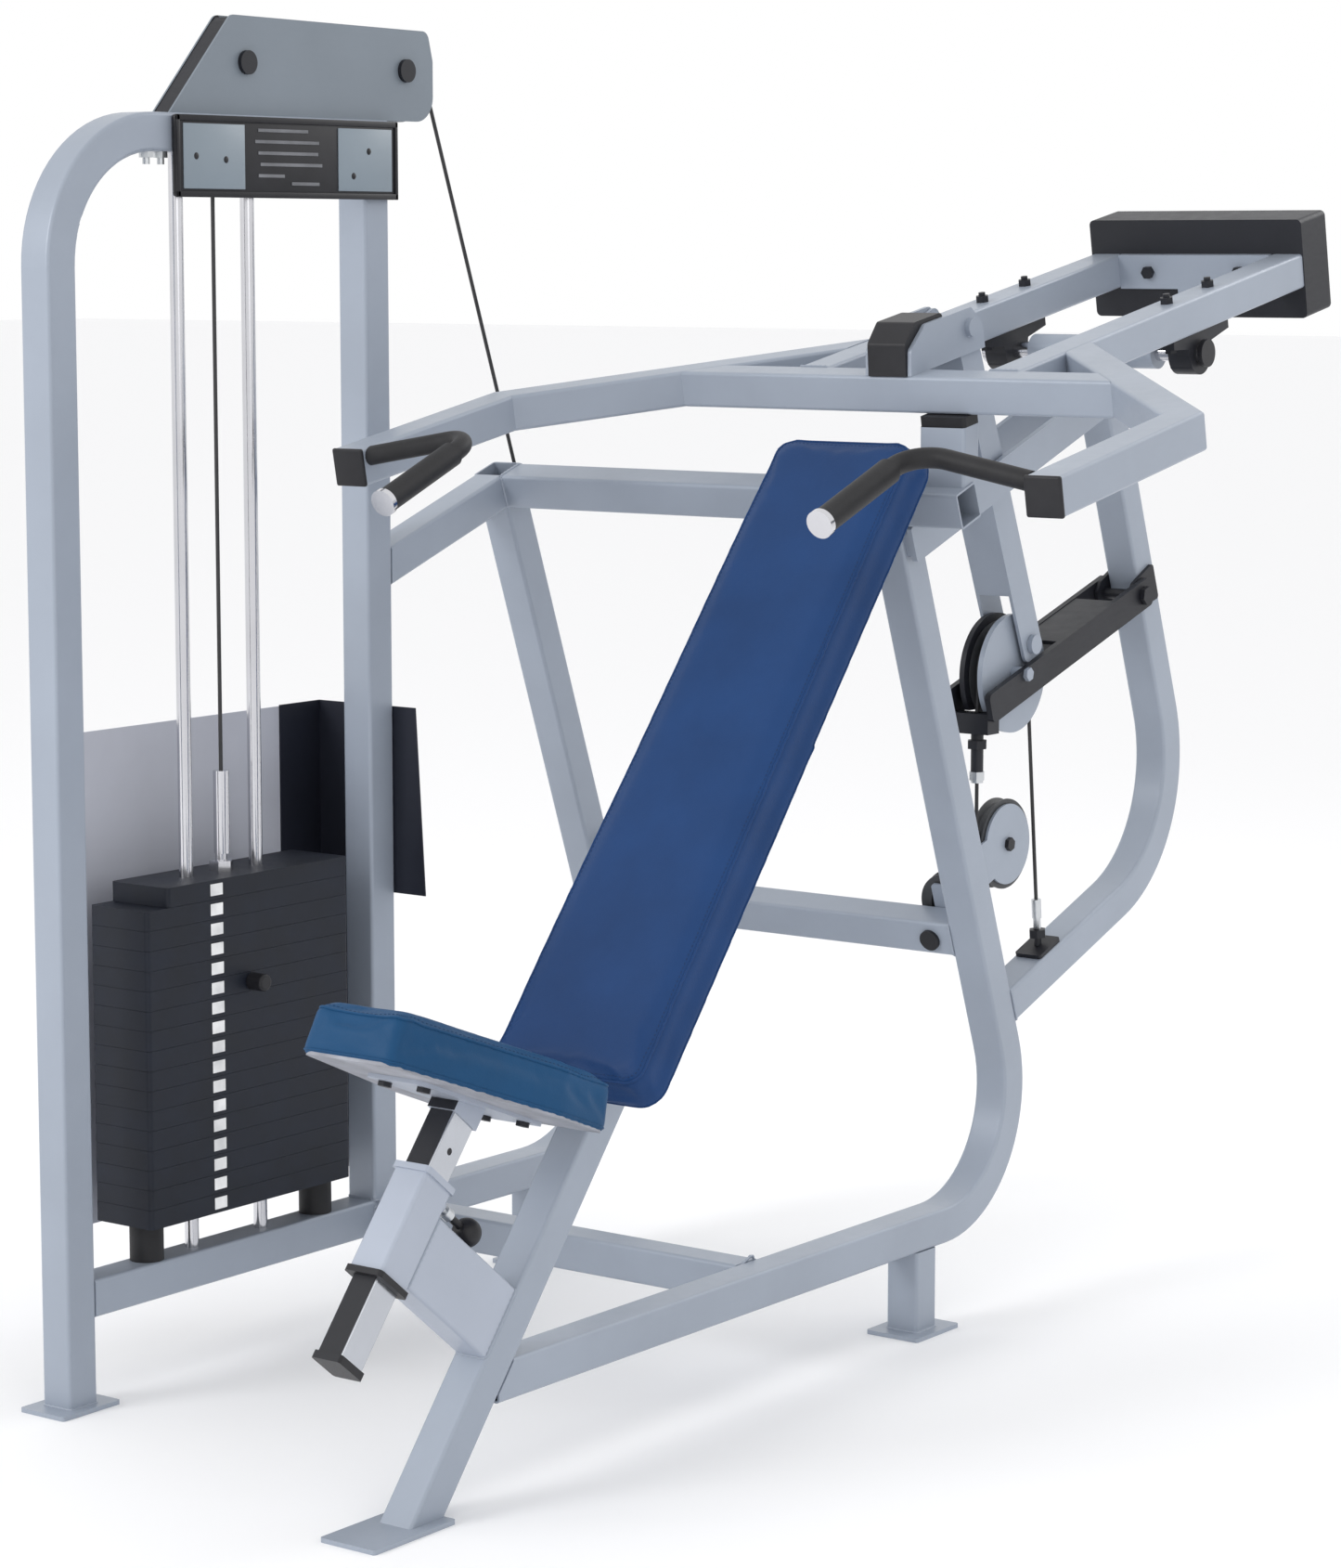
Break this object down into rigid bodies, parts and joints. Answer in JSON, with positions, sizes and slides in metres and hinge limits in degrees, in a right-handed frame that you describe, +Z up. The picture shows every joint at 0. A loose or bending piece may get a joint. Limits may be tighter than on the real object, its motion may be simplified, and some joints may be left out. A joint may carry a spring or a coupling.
{
  "type": "shoulder press machine",
  "caption": "Selectorised shoulder press machine with reclined back pad, sliding seat, pivoting press arm, lifting lever, cable run and guarded weight tower.",
  "frame": {"origin": "on the floor at the middle of the front foot plate, under the front leg", "axes": "+Z up; +Y from the seat to the counterweight (rearward); +X to the side away from the weight tower"},
  "size_m": [1.3704, 2.108, 1.8269],
  "materials": {
    "frame_paint": "satin",
    "upholstery": "matte",
    "board": "matte",
    "black_steel": "matte",
    "cast_weight": "matte",
    "chrome": "polished",
    "pale_post": "satin",
    "pulley_plastic": "matte",
    "black_plastic": "satin",
    "cable": "coated",
    "shroud_grey": "satin"
  },
  "bodies": {
    "frame": {"arm_stop": "frame_paint", "back_board": "board", "back_pad": "upholstery", "cable_anchor": "frame_paint", "floor_cross_tube": "frame_paint", "front_leg": "frame_paint", "guide_pulley_bracket": "frame_paint", "guide_rods": "chrome", "label_panel": "black_plastic", "left_frame_tube": "frame_paint", "left_top_tube": "frame_paint", "lever_pivot": "black_steel", "lift_cable": "cable", "main_cable": "cable", "main_frame_tube": "frame_paint", "mid_cross_tube": "frame_paint", "pivot_housing": "frame_paint", "pivot_shaft": "chrome", "pulley_housing": "frame_paint", "rear_loop": "frame_paint", "rear_shroud": "black_steel", "resting_plates": "cast_weight", "seat_sleeve": "pale_post", "side_shroud": "shroud_grey", "top_cross_tube": "frame_paint", "top_side_plates": "frame_paint", "tower_arch": "frame_paint", "tower_rear_post": "frame_paint"},
    "press_arm": {"arm_left": "frame_paint", "arm_right": "frame_paint", "cross_beam": "frame_paint", "rail_left": "frame_paint", "rail_right": "frame_paint", "pillow_block_left": "frame_paint", "pillow_block_right": "frame_paint", "rear_cross_plate": "frame_paint", "counterweight": "black_steel", "handle_left": "frame_paint", "handle_right": "frame_paint", "link_lugs": "frame_paint", "link_cover": "black_plastic"},
    "link": {"link_channel": "frame_paint"},
    "lever": {"lever_bars": "black_steel", "sheave_cheeks": "frame_paint", "sheave_cable": "cable"},
    "sheave_wheel": {"sheave": "pulley_plastic"},
    "guide_wheel": {"guide_pulley": "pulley_plastic"},
    "turn_wheel_right": {"turn_pulley_right": "pulley_plastic"},
    "turn_wheel_left": {"turn_pulley_left": "pulley_plastic"},
    "top_wheel_front": {"top_pulley_front": "pulley_plastic"},
    "top_wheel_rear": {"top_pulley_rear": "pulley_plastic"},
    "weight_carriage": {"head_plate": "cast_weight", "lifted_plates": "cast_weight", "stack_cable": "cable"},
    "stack_selector": {"selector_pin": "chrome"},
    "seat_carriage": {"seat_post": "pale_post", "seat_bracket": "black_steel", "seat_board": "board", "seat_pad": "upholstery"},
    "seat_lock": {"seat_pin": "black_plastic"}
  },
  "joints": [
    {"name": "arm_press", "type": "hinge", "parent": "frame", "child": "press_arm", "pos_m": [0, 1.612, 1.37], "axis": [-1, 0, 0], "range_deg": [0, 30]},
    {"name": "link_pivot", "type": "hinge", "parent": "press_arm", "child": "link", "pos_m": [0, 1.20629, 1.41134], "axis": [1, 0, 0], "range_deg": [0, 24]},
    {"name": "lever_swing", "type": "hinge", "parent": "frame", "child": "lever", "pos_m": [0, 1.69, 1.008], "axis": [-1, 0, 0], "range_deg": [0, 35.5]},
    {"name": "weight_lift", "type": "slide", "parent": "frame", "child": "weight_carriage", "axis": [0, 0, 1], "range_m": [0, 0.414], "deforming": ["stack_cable"]},
    {"name": "selector_pull", "type": "slide", "parent": "weight_carriage", "child": "stack_selector", "axis": [1, 0, 0], "range_m": [0, 0.075]},
    {"name": "seat_adjust", "type": "slide", "parent": "frame", "child": "seat_carriage", "axis": [0, 0.6327, 0.7744], "range_m": [-0.06, 0.09]},
    {"name": "seat_pin_push", "type": "slide", "parent": "frame", "child": "seat_lock", "axis": [0, -0.7744, 0.6327], "range_m": [0, 0.007]},
    {"name": "sheave_spin", "type": "hinge", "parent": "lever", "child": "sheave_wheel", "pos_m": [0, 1.3615, 0.918], "axis": [-1, 0, 0], "range_deg": [0, 145]},
    {"name": "guide_spin", "type": "hinge", "parent": "frame", "child": "guide_wheel", "pos_m": [0, 1.3575, 0.67181], "axis": [-1, 0, 0], "range_deg": [0, 384]},
    {"name": "turn_right_spin", "type": "hinge", "parent": "frame", "child": "turn_wheel_right", "pos_m": [-0.05, 1.32489, 0.58012], "axis": [0, -0.9397, -0.342], "range_deg": [0, 475]},
    {"name": "turn_left_spin", "type": "hinge", "parent": "frame", "child": "turn_wheel_left", "pos_m": [-0.631, 1.32489, 0.58012], "axis": [0, -0.9397, -0.342], "range_deg": [0, 475]},
    {"name": "top_front_spin", "type": "hinge", "parent": "frame", "child": "top_wheel_front", "pos_m": [-0.681, 0.511, 1.765], "axis": [-1, 0, 0], "range_deg": [0, 457]},
    {"name": "top_rear_spin", "type": "hinge", "parent": "frame", "child": "top_wheel_rear", "pos_m": [-0.681, 0.83829, 1.765], "axis": [-1, 0, 0], "range_deg": [0, 457]}
  ],
  "couplings": [
    {"joint": "link_pivot", "follows": "arm_press", "ratio": 0.794},
    {"joint": "lever_swing", "follows": "arm_press", "ratio": 1.178},
    {"joint": "weight_lift", "follows": "arm_press", "m_per_rad": 0.79},
    {"joint": "sheave_spin", "follows": "arm_press", "ratio": 4.8},
    {"joint": "guide_spin", "follows": "arm_press", "ratio": 12.742},
    {"joint": "turn_right_spin", "follows": "arm_press", "ratio": 15.8},
    {"joint": "turn_left_spin", "follows": "arm_press", "ratio": 15.8},
    {"joint": "top_front_spin", "follows": "arm_press", "ratio": 15.192},
    {"joint": "top_rear_spin", "follows": "arm_press", "ratio": 15.192}
  ]
}
